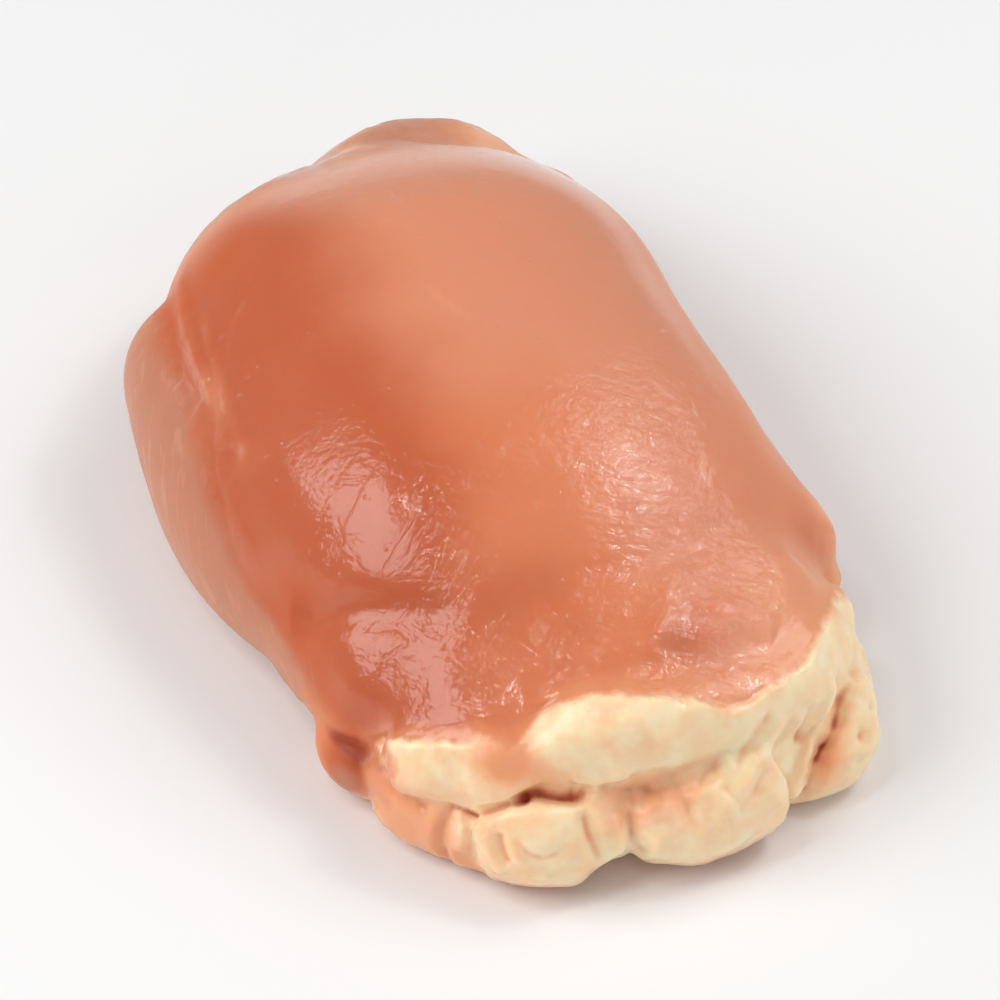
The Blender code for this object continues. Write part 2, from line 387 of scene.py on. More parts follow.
def neighbour_mean(mesh):
    """A function that gives, for each point, the mean of its neighbours' values."""
    edges = np.empty(len(mesh.edges) * 2, np.int64)
    mesh.edges.foreach_get("vertices", edges)
    one, other = edges.reshape(-1, 2).T
    size = len(mesh.vertices)
    count = np.bincount(one, minlength=size) + np.bincount(other, minlength=size)

    def mean(values):
        """The sum of the neighbours' values, divided by how many there are."""
        total = np.stack([
            np.bincount(one, values[other, axis], size)
            + np.bincount(other, values[one, axis], size)
            for axis in range(values.shape[1])
        ], axis=1)
        return total / count[:, None]

    return mean


mean_around = neighbour_mean(meat)


def rounded(values, rounds):
    """Each round moves every value halfway to the mean of its neighbours."""
    for _ in range(rounds):
        values = (values + mean_around(values)) / 2
    return values


FINE_ROUNDING = 4
places = rounded(settled(read_points(meat)), FINE_ROUNDING)
write_points(meat, places)
print("pattern from", places.min(axis=0).round(1), "to", places.max(axis=0).round(1))

# %% [markdown]
# ## Relief
# The lobes give the big shapes. The smaller ones are moved out of the skin, along its own
# direction at each point: swellings where a muscle lies under the membrane, folds, the ragged edge
# of the fat, and the ripples in it where it was rolled up. Each is a bump or a groove with a bell
# curve for its section, and a little noise keeps them from looking drawn. Noise alone would be
# quicker, but a fold of meat runs along one particular line, so the main ones are listed by place.

# %% Noise
SEED_SHIFT = 7.31


def lattice_value(cell, seed):
    """A number from -1 to 1 that is fixed for each cell, from its three whole coordinates."""
    mixed = (cell[:, 0] * 73856093) ^ (cell[:, 1] * 19349663) ^ (cell[:, 2] * 83492791)
    mixed = (mixed ^ (seed * 2654435761)) & 0xFFFFFFFF
    mixed = ((mixed ^ (mixed >> 15)) * 2246822519) & 0xFFFFFFFF
    mixed = ((mixed ^ (mixed >> 13)) * 3266489917) & 0xFFFFFFFF
    return ((mixed ^ (mixed >> 16)) & 0xFFFFFF) / 0x7FFFFF - 1


def noise(points, size, seed, octaves=1):
    """Value noise: the corner values of cells of this size, blended with 6t^5 - 15t^4 + 10t^3."""
    total = np.zeros(len(points))
    for octave in range(octaves):
        scaled = points / size * 2**octave + seed * SEED_SHIFT
        low = np.floor(scaled).astype(np.int64)
        t = scaled - low
        t = t**3 * (t * (t * 6 - 15) + 10)
        value = np.zeros(len(points))
        for corner in np.ndindex(2, 2, 2):
            share = np.prod(np.where(np.array(corner) == 1, t, 1 - t), axis=1)
            value += share * lattice_value(low + corner, seed + octave)
        total += value / 2**octave
    return total


def creases(points, size, seed, width):
    """exp(-(n / width)^2), where n is noise: thin lines that wander where the noise is zero."""
    return np.exp(-((noise(points, size, seed) / width) ** 2))


def step_up(value, low, high):
    """0 below low, 1 above high, and 3t^2 - 2t^3 between."""
    t = np.clip((value - low) / (high - low), 0, 1)
    return t * t * (3 - 2 * t)


# %% Where the fat begins
# from left to right, x and how far back and up the edge between the muscle and the fat lies
FAT_EDGE_X = (
    -40, -23.3, -22.1, -19.3, -18.2, -14.4, -13.4, -12.4, -11.4, -10.4, -7.7, -5.6, -2.5,
    0.8, 5.4, 8.9, 10.4, 12.5, 14.7, 17.5, 20.2, 23.6, 26.2, 28.9, 31.4, 40,
)
FAT_EDGE_RISE = (
    -8.4, -8.7, -8.8, -9.9, -9.6, -10.6, -11.2, -11.8, -11.8, -11.1, -9.6, -8.7, -8.5,
    -9.1, -10.5, -11.5, -12.5, -13.3, -13.4, -12.7, -11.9, -10.8, -8.8, -6.8, -5.4, -4,
)
# from the table up, the left end of the fat
FAT_LEFT_Z = (0, 2, 5, 7, 8.7, 11.6, 14, 30)
FAT_LEFT_X = (-25.5, -25.5, -24.6, -24.0, -23.4, -23.8, -23.3, -23.3)


def inside_fat(points):
    """
    How far a point is past the nearer edge of the fat: the edge's rise minus (y + z) / sqrt(2),
    or x minus the left end's x, whichever is less, made ragged by noise.
    """
    x, y, z = points.T
    past_top = np.interp(x, FAT_EDGE_X, FAT_EDGE_RISE) - (y + z) / math.sqrt(2)
    past_left = x - np.interp(z, FAT_LEFT_Z, FAT_LEFT_X)
    ragged = 0.35 * noise(points, 3.2, 11) + 0.2 * noise(points, 1.4, 12)
    return np.minimum(past_top, past_left) + ragged


# %% Grooves, ridges and swellings
def course_place(course, points):
    """The distance to a smooth curve through the course, and where along it that is, 0 to 1."""
    at = np.linspace(0, len(course) - 1, CURVE_STEPS * len(course))
    line = curve_through(course, at)
    apart = np.sqrt(((points[:, None, :] - line[None]) ** 2).sum(axis=2))
    return apart.min(axis=1), at[apart.argmin(axis=1)] / at[-1]


def ridge(points, course, height, half_width, taper=0.18):
    """
    height * exp(-(distance to the course / half width)^2), fading over the taper at both ends.
    A negative height is a groove.
    """
    course = np.array(course, float)
    reach = 3 * half_width
    low, high = course.min(axis=0) - reach, course.max(axis=0) + reach
    near = ((points > low) & (points < high)).all(axis=1)
    apart, place = course_place(course, points[near])
    ends = step_up(np.minimum(place, 1 - place), -0.02, taper)
    lift = np.zeros(len(points))
    lift[near] = height * ends * np.exp(-((apart / half_width) ** 2))
    return lift


def swelling(points, centre, radius, height):
    """height * exp(-(distance / radius)^2)."""
    apart = np.linalg.norm(points - np.array(centre, float), axis=1)
    return height * np.exp(-((apart / radius) ** 2))


def arcs(points, centre, spacing, patch, reach, height):
    """height * sin(2 pi r / spacing), with r bent by noise, fading out past the patch's reach."""
    apart = np.linalg.norm(points - np.array(centre, float), axis=1)
    bent = apart + 1.3 * noise(points, 4.0, 31) + 0.3 * noise(points, 1.8, 32)
    inside = np.exp(-((np.linalg.norm(points - np.array(patch, float), axis=1) / reach) ** 4))
    uneven = 0.75 + 0.6 * noise(points, 3.0, 33)
    return height * uneven * np.sin(2 * np.pi * bent / spacing) * inside


# each is a course, a height and a half width
MUSCLE_FOLDS = [
    # the dip between the two bulges at the front left
    (((-28.1, -5.4, 16.5), (-27.1, -7.7, 18), (-25.2, -10.4, 20.3), (-23.0, -12.6, 22),
      (-19.5, -15.8, 23.6), (-16, -18.3, 24.2), (-12, -21, 24)), -1.05, 2.6),
    # the line that ends the red muscle against the pale flank
    (((-28.6, 22, 24.5), (-31.2, 17.3, 21.6), (-31.7, 11.2, 20.1), (-32.1, 5.7, 17.9),
      (-31.4, 1.4, 16.2), (-28.9, -3.4, 16.3), (-27.0, -7.5, 17.5), (-25, -10, 20)), -0.15, 1.4),
    (((-31.0, 17.8, 21.7), (-29.5, 15.9, 23.3), (-28.2, 13.1, 24.9)), -0.2, 0.9),
    # the gathered ridge where the side roll leaves the wrap, and the dip beside it
    (((-25.0, 49.0, 22.5), (-27.2, 39, 25), (-28.4, 30, 25.2), (-28.7, 22, 25.4)), 0.4, 1.0),
    (((-27.6, 43.0, 21.7), (-30.0, 33, 22.6), (-30.8, 24, 22.4)), -0.35, 1.4),
    (((-26.2, 34, 28), (-27.6, 27, 27.2), (-28.0, 18.5, 26)), 0.2, 0.8),
    # a long shallow furrow down the right flank
    (((28, 40, 20), (31, 25, 20), (32, 8, 20), (30, -6, 22)), -0.4, 3.0),
    # the two arms of the fold over the right front corner, and the hollow between them
    (((14.3, -20.5, 26), (11, -25.2, 25.8), (8.2, -29.0, 24.9), (5.5, -32, 23.6)), 0.4, 1.7),
    (((14.5, -27, 24.6), (10.8, -30.5, 24.3), (8.5, -33, 23.4)), -0.35, 2.6),
    (((15.5, -26.2, 25), (19, -29.2, 23.5), (22, -31, 21.5)), 0.35, 1.8),
    # the valley behind the brow is shallower in the membrane than in the lobes
    (((-6, -23.6, 24.5), (0, -24, 24.4), (6, -24, 24.4), (12, -23.6, 24), (18, -21.5, 23.5),
      (25, -19.5, 22), (30, -18, 17)), 0.6, 3.2),
    # behind the edge of the fat it falls away more steeply than the lobes do
    (((-9, -31, 22.5), (-3, -32, 23.6), (3, -33.5, 23.5), (10, -34, 22.5), (18, -33, 21.5),
      (25, -28.5, 20.5)), -0.8, 3.0),
]
MUSCLE_SWELLINGS = [
    ((-16.5, -5, 31), 8, 0.55), ((-14.8, -25.0, 20.0), 4.8, 0.9),
]
FAT_FOLDS = [
    # the crease under the lip, with its two faint ends
    (((-17.9, -34.0, 9.3), (-16.1, -36.0, 9.1), (-14.8, -37.5, 10.8), (-12.6, -38.2, 12.1),
      (-10.4, -38.5, 13.0)), -1.2, 0.75),
    (((-12.6, -38.2, 12.4), (-10.4, -38.5, 13.2), (-8.6, -39.3, 13.2), (-6.8, -40, 13.2),
      (-3.4, -40.5, 13.0)), -2.2, 1.1),
    # the lip's lower edge runs on over the end of the crease
    (((-6, -39.6, 14.4), (-3.2, -40.4, 14.9), (0.5, -40.8, 15.6)), 0.6, 1.5),
    (((-3.4, -40.5, 13.6), (0.6, -40.8, 14.4), (5.0, -41.8, 15.2)), -0.4, 1.2),
    (((1.3, -40.7, 11.1), (4.4, -41.9, 12.2), (8.1, -42.4, 13.1), (12.3, -41.2, 13.7)),
     -0.7, 1.2),
    # the line that parts the apron from the left curl, and the cleft between the curls
    (((-17.6, -33.9, 10.3), (-19.0, -34.3, 7.5), (-19.5, -34.6, 4.1), (-19, -35, 0)),
     -1.0, 0.9),
    (((-5.4, -41.5, 12.3), (-5.2, -43.6, 9.9), (-4.1, -45, 5.8), (-3.5, -45, 1)), -1.0, 1.0),
    # the flange on the right, and the gap between it and the knob
    (((26.6, -34.8, 16.2), (25.4, -36.4, 13.1), (23.4, -38.3, 8.8), (20.8, -39.9, 2.8)),
     1.0, 0.9),
    (((32.1, -30.9, 12.5), (28.6, -35.0, 11.5), (25.9, -38.0, 9.0), (23.8, -39.9, 6.1),
      (22.2, -40.0, 2.5), (21.5, -40, 0)), -1.4, 1.1),
    # soft furrows and ridges that fan down the right wall
    (((23.4, -37.2, 15.5), (22.8, -37.6, 12.6), (21.8, -38.0, 9.5)), -0.4, 0.9),
    (((21.3, -38.5, 15.4), (19.3, -39.1, 12.1), (15.9, -42.8, 11.8), (13.7, -44.9, 10)),
     -0.35, 1.0),
    (((19.8, -38.8, 16.8), (17.6, -40, 13.9), (14.3, -42.6, 12.3), (11.8, -44.7, 10.8)),
     0.35, 0.9),
    (((18.1, -39.1, 17.8), (15.8, -40.1, 15.6), (12.7, -42.3, 13.0), (10.0, -44.5, 11.6)),
     -0.35, 0.9),
    (((14.4, -39.8, 18.4), (12.2, -40.7, 16.1), (10.1, -41.5, 13.8), (7.7, -42.9, 12.7)),
     -0.3, 1.2),
    # the crumpled layers at the left end of the left curl, and the whorl in its middle
    (((-17.4, -35.4, 8.0), (-17.4, -36.1, 6.7), (-18.1, -36.0, 4.7)), 0.5, 0.8),
    (((-16.0, -38.4, 8.9), (-15.7, -39.7, 7.7), (-15.1, -40.7, 6.2), (-14.4, -41.2, 5.2)),
     0.6, 0.8),
    (((-14.3, -39.7, 9.9), (-14.4, -40.6, 8.6), (-13.8, -41.7, 6.8)), -0.55, 0.7),
    (((-13.6, -41.2, 8.9), (-12.8, -42.3, 7.4), (-11.5, -43.2, 6.2), (-9.4, -44.1, 6.0)),
     0.4, 0.8),
    (((-12.9, -41.0, 10.1), (-11.9, -42.4, 8.9), (-10.6, -43.4, 8.4), (-8.8, -43.7, 9.1)),
     -0.35, 0.7),
    # the layers at the left end of the right curl
    (((-2.1, -42.1, 10.7), (-2.0, -43.3, 8.6), (-1.4, -44, 5.5)), 0.4, 0.7),
    (((0.1, -41.3, 10.4), (0.1, -42.7, 7.9), (1.3, -43.6, 4.7)), -0.35, 0.7),
    (((2.3, -42.0, 11.0), (2.2, -43.7, 8.9), (3.3, -44.9, 5.7)), 0.35, 0.8),
    # the step under the overhanging edge of the left end
    (((-23.6, -27.5, 11.5), (-23.0, -28.6, 8.9), (-21.6, -30.9, 8.6), (-20.2, -32.6, 7.9)),
     -0.5, 0.8),
]
# each is a centre, a radius and a height
FAT_PITS = [
    ((24.9, -38.4, 9.0), 1.3, -1.6), ((23.8, -39.4, 7.4), 1.3, -1.2),
    ((22.2, -40.0, 5.6), 1.1, -0.8), ((30.1, -38.1, 8.2), 1.1, -0.8),
    ((27.3, -36.8, 10.3), 1.0, -0.5), ((-12.5, -36.9, 16.4), 1.5, -0.6),
    ((9.7, -42.5, 8.8), 1.6, -0.5), ((-1.7, -40.2, 16.2), 1.4, -0.45),
    ((28.9, -38.6, 5.5), 1.0, -0.7), ((32.0, -34.5, 9.0), 0.9, -0.6),
    ((-20.6, -31.6, 13.0), 1.6, 0.5), ((-7.5, -36.5, 17.5), 2.2, 0.5),
    ((14.0, -41.5, 16.5), 2.4, 0.4), ((-13.3, -37.3, 14.5), 3.8, 1.2),
    ((-11.0, -42.4, 10.4), 2.4, 0.5), ((5.9, -44.5, 10.7), 1.3, -0.4),
    ((3.4, -44.2, 9.3), 1.2, -0.3),
]
# the rolled fat shows its layers as arcs: each is their middle, their spacing, the middle and
# radius of the patch that shows them, and their height
CURL_ARCS = [
    ((-10.5, -41, 12), 2.4, (-10, -43, 8), 4.5, 0.12),
    ((-5, -44, 8), 2.5, (3.5, -44, 8.5), 5, 0.14),
    ((16, -43, 12), 2.8, (8.5, -45, 10.5), 4.5, 0.14),
]
# the gap between the edge of the wrap and the small muscle under it
TAB_GAP = (
    ((-29.5, -13, 8.5), (-28.1, -17.8, 8.8), (-25.4, -22.1, 9.2), (-23.7, -26.5, 9.8)),
    -0.35, 1.7,
)
# lumps from large to small: their size, the seed of their noise and their height
MUSCLE_LUMPS = ((16, 1, 0.2), (6, 2, 0.02))
FAT_LUMPS = ((6.0, 3, 0.4), (2.8, 4, 0.26), (1.3, 6, 0.08))
# the fat starts with a step this high, and higher by this much for each millimetre to the left
FAT_STEP = 0.5
FAT_STEP_RISE = 0.012
FOOT_REACH = 2.5


def lumps(points, table):
    """The sum of height * noise over a table of sizes, seeds and heights."""
    return sum(height * noise(points, size, seed) for size, seed, height in table)


def loose(points):
    """How slack the membrane is: fully at the back end, less low on the right flank."""
    low_right = step_up(points[:, 0], 30, 35) * step_up(-points[:, 2], -28, -20)
    return np.maximum(step_up(points[:, 1], 50, 60), 0.6 * low_right)


def relief(points):
    """How far each point of the skin moves outwards: muscle, then fat, then nothing at the foot."""
    past = inside_fat(points)
    fatty = step_up(past, -0.3, 0.5)
    lift = (1 - fatty) * lumps(points, MUSCLE_LUMPS)
    # the loose ends at the back and the right flank are less tight, so they are crumpled
    crumple = 0.5 * noise(points, 10, 31, 3) - 0.35 * creases(points, 9, 35, 0.12)
    lift += loose(points) * crumple
    lift += fatty * lumps(points, FAT_LUMPS)
    for course, height, half_width in [*MUSCLE_FOLDS, *FAT_FOLDS, TAB_GAP]:
        lift += ridge(points, course, height, half_width)
    for centre, radius, height in [*MUSCLE_SWELLINGS, *FAT_PITS]:
        lift += swelling(points, centre, radius, height)
    for centre, spacing, patch, reach, height in CURL_ARCS:
        lift += fatty * arcs(points, centre, spacing, patch, reach, height)
    # the fat is a layer on top of the muscle, so it starts with a small step, steepest at the left
    lift += (FAT_STEP - FAT_STEP_RISE * points[:, 0]) * step_up(past, -0.4, 0.7)
    return lift * step_up(points[:, 2], 0.0, FOOT_REACH)


# %% Move the skin
def outward_at(mesh):
    """The direction that the skin faces at each point."""
    normals = np.empty(len(mesh.vertices) * 3)
    mesh.vertex_normals.foreach_get("vector", normals)
    return normals.reshape(-1, 3)


# the membrane is drawn tight over the muscle, right up to the fat, but not over the small muscle
TIGHT_ROUNDING = 150
BRIDGE_ROUNDING = 100
BRIDGES = 6
across, back, up = places.T
over_front = step_up(up, 11, 16) * step_up(-back, 4, 12)
over_corner = step_up(across, 14, 20) * step_up(up, 5, 9) * step_up(-back, -4, 6)
above_small_muscle = step_up(up - 4 * step_up(-back, 7, 12), 4, 8)
over_flank = step_up(-across, 15, 21) * above_small_muscle * step_up(-back, -46, -38)
tight = np.maximum.reduce([over_front, over_corner, over_flank])
tight = tight * step_up(-inside_fat(places), 0.3, 3.0)
smooth = rounded(places, TIGHT_ROUNDING)
places = places + (smooth - places) * tight[:, None]
write_points(meat, places)
# it also bridges the hollows between the muscles: there the skin moves out to the rounded one
for _ in range(BRIDGES):
    outwards = outward_at(meat)
    deep = ((rounded(places, BRIDGE_ROUNDING) - places) * outwards).sum(axis=1)
    places = places + outwards * (np.clip(deep, 0, None) * tight)[:, None]
    write_points(meat, places)
lift = relief(places)
places = places + outward_at(meat) * lift[:, None]
places[:, 2] = np.maximum(places[:, 2], 0)
write_points(meat, places)
print("relief from", lift.min().round(2), "to", lift.max().round(2), "mm")

# %% [markdown]
# ## What each point of the skin is
# The colours follow the anatomy, apart from painted shade, so each point carries a few numbers that
# the material reads: how far it is inside the fat, how red the muscle is there, how much pale
# silverskin lies over it, and how deep in a hollow it sits, which the material darkens as painted
# shade. A number that changes evenly over the skin can be cut off sharply in the material, so an
# edge comes out much finer than the mesh.

# %% Hollows
NARROW_ROUNDING = 12
WIDE_ROUNDING = 120


def hollow_depth(rounds):
    """How far a point lies under the skin when that is rounded off this many times."""
    return ((rounded(places, rounds) - places) * outward_at(meat)).sum(axis=1)


# the material darkens the skin in these hollows as painted shade
narrow_hollow = hollow_depth(NARROW_ROUNDING)
wide_hollow = hollow_depth(WIDE_ROUNDING)
print("hollows up to", narrow_hollow.max().round(2), "and", wide_hollow.max().round(2), "mm deep")

# %% Spots and streaks that differ from the skin round them
def along_lines(courses, width):
    """1 on each course, falling as exp(-(distance / width)^2) beside it."""
    return sum(ridge(places, course, 1.0, width, 0.1) for course in courses)


def spots(table):
    """All the swellings of a table of centres, radii and strengths, added up."""
    return sum(swelling(places, *spot) for spot in table)


# each spot is a centre, a radius and a strength
# the small muscle at the front left is its own redder colour; the spots in the dips are painted
# shade
RED_AND_SHADED_SPOTS = [
    ((30.5, -16.5, 17.5), 4.5, 0.5), ((-19, -14, 25), 6, 0.7), ((10.5, -30.5, 24), 4.5, 0.5),
    ((-3, -24, 26), 8, 0.3), ((-25.5, -21, 6), 4, 1.2), ((-16, 48, 29), 7, 0.4),
]
# stains near the crease, and painted shade low on the left and in the hollow by the knob
STAIN_AND_SHADE_SPOTS = [
    ((-22.3, -30.5, 6), 4.5, 0.9), ((-19.5, -34, 3.5), 3.5, 0.8), ((25, -39, 7), 2.4, 0.6),
    ((-12.5, -36.5, 17), 2.5, 0.8), ((-9, -38.5, 15.5), 2.5, 0.4), ((0, -42, 12.5), 3.5, 0.6),
    ((6, -42.5, 12), 3.5, 0.4), ((29, -26, 19), 3.5, 0.8), ((-12, -34, 17.5), 4.2, 0.7),
]
DRY_SPOTS = [
    ((-26, -21, 7), 5, 0.9), ((-27, -5, 18), 5, 0.8), ((-28, -12, 15), 4.5, 0.9),
    ((-27, -17, 8), 4.5, 0.8), ((30.5, -16, 18), 5, 1.0), ((-4.5, -24, 24), 3.5, 0.8),
]
CREAMY_SPOTS = [
    ((30.5, -16.5, 17.5), 5, -0.4), ((20, 62, 21), 4.5, 0.8), ((26, 54, 20), 4.5, 0.7),
]
PALE_SPOTS = [((-27.3, -22.3, 5), 2.2, 0.9)]
WRINKLED_SPOTS = [
    ((-9, -6, 32.5), 6, 0.8), ((-10.5, -13, 30), 5, 1.3), ((-16, 1, 32.2), 5, 0.9),
    ((-23.5, -6, 26), 4, 0.8), ((-14, -25, 20), 7, 0.65), ((-12, -26, 21), 3.5, 0.8),
    ((-20, -18, 21), 4.5, 0.45), ((0, -28, 24.5), 6, 1.0), ((-11.5, -19.5, 25.5), 3.5, 0.9),
    ((-17.5, -17.5, 23.5), 3.5, 0.4), ((14, -4, 32), 9, 1.4), ((15, -16, 27.5), 8, 1.4),
    ((14, -27, 24), 7, 1.5), ((21, -25, 22), 5, 1.0), ((10, -35, 22.5), 7, 0.8),
    ((-29, 28, 23), 8, 0.8),
]
# two faint scratches on the dome, and light streaks along the gathered ridge of the side roll
SCRATCHES = [
    ((-2.6, 21, 36.9), (-1.2, 17.5, 36.8), (0.9, 14, 36.6)),
    ((-21.8, 32, 31.2), (-24.3, 29.5, 29.8), (-25.6, 27, 28.6)),
]
RIDGE_STREAKS = [
    ((-24.6, 50, 22), (-27.2, 40, 25), (-28.4, 31, 25.2), (-28.7, 24, 25.4), (-29.5, 17, 24)),
    ((-25.9, 36, 28), (-27.6, 27, 27.2), (-28.0, 18.5, 26), (-28.4, 12, 25)),
]

# %% How red, stained, shaded and warm each point is
x, y, z = places.T
slack = loose(places)
# the muscle is reddest on the left of the wrap, less so at the front, and where the skin dips, which
# is painted shade
left_side = step_up(-x + 0.15 * np.maximum(-y - 12, 0), -4, 20)
not_the_ends = step_up(-(y + 0.4 * x), -50, -30) * step_up(z, 8, 14) * step_up(y, -42, -24)
front_middle = step_up(-y, 6, 16) * step_up(x, -20, -10)
redness = (
    left_side * not_the_ends * (1 - 0.5 * front_middle)
    + slack * 0.7 * np.maximum(noise(places, 13, 33, 2), 0)
    + spots(RED_AND_SHADED_SPOTS)
    + 0.12 * noise(places, 16, 21, 2)
)
# the fat is partly stained by the muscle round it and partly darkened as painted shade: low on the
# left, in the hollow by the knob, underneath
stain_and_shade = (
    spots(STAIN_AND_SHADE_SPOTS)
    + 0.6 * step_up(-z, -4.5, -0.5) * step_up(-x, -23, -17)
    + 0.2 * step_up(-z, -16, -11)
    + 0.15 * step_up(-x, 7, 14)
)
# the muscle is more orange low at the front, paler and pinker on the dome and the right
warmth = (
    step_up(-y, -16, 8) * (1 - 0.8 * step_up(x, 3, 14))
    + 0.4 * step_up(x, 31, 36)
    + 0.2 * noise(places, 14, 23, 2)
)

# %% How pale, dry, creamy and wrinkled each point is
WRINKLED_LIMIT = 1.6

# silverskin covers the left flank, and lies in patches where the membrane is slack
flank = (
    step_up(-x, 27.5, 33.5) * step_up(20.5 - z + 0.25 * (y - 15), -3, 4) * step_up(y, -18, -2)
    + step_up(-x, 20, 27) * step_up(15 - z, -1, 5) * step_up(y, -18, -6)
    + slack * (0.35 + 0.6 * noise(places, 11, 34, 2))
)
# the film of water is thin on both flanks, at the back, on the small muscle and beside the dip
dry = (
    flank
    + 0.9 * step_up(x, 20, 29) * step_up(-z, -34, -26) * step_up(y, -14, 0)
    + 0.8 * step_up(x, 25, 31) * step_up(-z, -28, -22)
    + step_up(-x, 8, 22) * step_up(y, 30, 44)
    + 0.5 * step_up(y, 44, 60)
    + spots(DRY_SPOTS)
)
# fat shines through the membrane over the right front corner, at the back and in the streaks
creaminess = (
    0.35 * step_up(x - 0.5 * y, 26, 46) * step_up(-y, 8, 22) * step_up(z, 14, 20)
    + 0.25 * step_up(y, 24, 44) * step_up(x, 2, 20)
    + 0.25 * step_up(x - 0.5 * y - z, -2, 18) * step_up(-y, 8, 22)
    + spots(CREAMY_SPOTS)
    + slack * 0.8 * np.maximum(noise(places, 9, 36, 2), 0)
    + 0.15 * along_lines(RIDGE_STREAKS, 1.2)
    + 0.25 * along_lines(SCRATCHES, 0.7)
    + 0.12 * noise(places, 9, 24, 2)
)
paleness = (
    flank
    + 0.6 * step_up(y, 44, 60)
    + spots(PALE_SPOTS)
    + 0.18 * noise(places, 9, 22, 2)
)
# the membrane wrinkles where it is slack, and over the bulges at the front
wrinkled = 0.12 + 0.7 * slack + 0.3 * step_up(x, 28, 33) + spots(WRINKLED_SPOTS)
# towards the right the membrane thins out over the fat, so its edge is less sharp there
fat_edge = inside_fat(places) * (1 - 0.5 * step_up(x, -4, 8))
# the small muscle at the front left stays clear of fat
fat_edge -= swelling(places, (-26.2, -21, 6), 2.6, 2)
attributes = {
    "fat_edge": fat_edge,
    "redness": np.clip(redness, 0, 1),
    "warmth": np.clip(warmth, 0, 1),
    "stain_and_shade": np.clip(stain_and_shade, 0, 1),
    "paleness": np.clip(paleness, 0, 1),
    "creaminess": np.clip(creaminess, 0, 1),
    "flank": np.clip(flank, 0, 1),
    "dry": np.clip(dry, 0, 1),
    "wrinkled": np.clip(wrinkled, 0, WRINKLED_LIMIT),
    "narrow_hollow": narrow_hollow,
    "wide_hollow": wide_hollow,
    # painted shade along the gap under the wrap's overhanging edge
    "gap_shade": along_lines([TAB_GAP[0]], 1.0) + swelling(places, (-25.4, -22, 7.5), 3, 0.6),
}

# %% Two fine lines in the membrane
FINE_LINES = {
    "line_a": ((-14.6, 0.5, 32.6), (-17.6, -2.2, 31.0), (-20.2, -4.2, 28.9), (-22.6, -5.6, 26.6),
               (-24.3, -7.0, 23.9)),
    "line_b": ((-13.5, -8.6, 30.8), (-16.8, -10.7, 28.5), (-19.5, -11.9, 26.2)),
}
LINE_STRENGTH = {"line_a": 1.0, "line_b": 0.35}
FAR_FROM_LINE = 9


def beside(course):
    """How far a point is from a line, with a sign for the side, and far past the line's ends."""
    course = np.array(course, float)
    apart, place = course_place(course, places)
    at = place * (len(course) - 1)
    line = curve_through(course, at)
    run = curve_through(course, np.minimum(at + 0.1, len(course) - 1)) - line
    side = np.cross(run, outward_at(meat))
    sign = np.sign(((places - line) * side).sum(axis=1))
    return np.where((place > 0.02) & (place < 0.98), sign * apart, FAR_FROM_LINE)


for name, course in FINE_LINES.items():
    attributes[name] = beside(course)
for name, values in attributes.items():
    layer = meat.attributes.new(name, "FLOAT", "POINT")
    layer.data.foreach_set("value", values.astype(np.float32))
    print(name, "from", values.min().round(2), "to", values.max().round(2))

# %% Real size
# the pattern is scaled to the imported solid's own box, so the skin keeps its length and place
low, high = places.min(axis=0), places.max(axis=0)
scale = (cad_high[1] - cad_low[1]) / (high[1] - low[1])
middle = np.array(((low[0] + high[0]) / 2, (low[1] + high[1]) / 2, low[2]))
ORIGIN = np.array(((cad_low[0] + cad_high[0]) / 2, (cad_low[1] + cad_high[1]) / 2, cad_low[2]))


def real(points):
    """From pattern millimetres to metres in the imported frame."""
    return (np.asarray(points, float) - middle) * scale + ORIGIN


write_points(meat, real(places))
meat.shade_smooth()
thigh = bpy.data.objects.new("thigh_meat", meat)
bpy.context.scene.collection.objects.link(thigh)
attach(thigh, "root")
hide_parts("chicken_thigh")
print("one pattern millimetre is", round(scale * MM, 4), "mm;", len(meat.polygons), "faces")

# %% [markdown]
# ## The material
# Raw poultry is a wet, clouded solid: light goes in, wanders a little way through it and comes out
# warmer. Subsurface scattering does that. Over it lies a clear wet film, which gives sharp
# reflections of the lamps, broken by the finest wrinkles of the membrane. Fat is paler and less
# wet. A picture could be wrapped round the mesh instead, but patterns that are worked out at each
# point have no seams and stay sharp close up.

# %% Helpers for nodes
material = bpy.data.materials.new("raw_meat")
material.use_nodes = True
tree = material.node_tree
surface = tree.nodes["Principled BSDF"]


def srgb(red, green, blue):
    """The linear colour of a screen colour of 0 to 255."""
    parts = np.array((red, green, blue)) / 255
    linear = np.where(parts <= 0.04045, parts / 12.92, ((parts + 0.055) / 1.055) ** 2.4)
    return (*linear.tolist(), 1)


def link(source, target):
    """Joins the source to the target, or sets the target where the source is a plain value."""
    if isinstance(source, bpy.types.NodeSocket):
        tree.links.new(source, target)
    else:
        target.default_value = source


def number(name):
    """One of the numbers that each point of the skin carries."""
    node = tree.nodes.new("ShaderNodeAttribute")
    node.attribute_name = name
    return node.outputs["Fac"]


def sums(operation, one, other=0.0):
    """The named operation on one value and the other."""
    node = tree.nodes.new("ShaderNodeMath")
    node.operation = operation
    link(one, node.inputs[0])
    link(other, node.inputs[1])
    return node.outputs[0]


def times(one, other):
    """one * other."""
    return sums("MULTIPLY", one, other)


def plus(one, other):
    """one + other."""
    return sums("ADD", one, other)


def ramp(value, low, high, to_low=0.0, to_high=1.0):
    """Smoothly from to_low at low to to_high at high."""
    node = tree.nodes.new("ShaderNodeMapRange")
    node.interpolation_type = "SMOOTHSTEP"
    link(value, node.inputs["Value"])
    settings = {"From Min": low, "From Max": high, "To Min": to_low, "To Max": to_high}
    for socket, setting in settings.items():
        node.inputs[socket].default_value = setting
    return node.outputs["Result"]


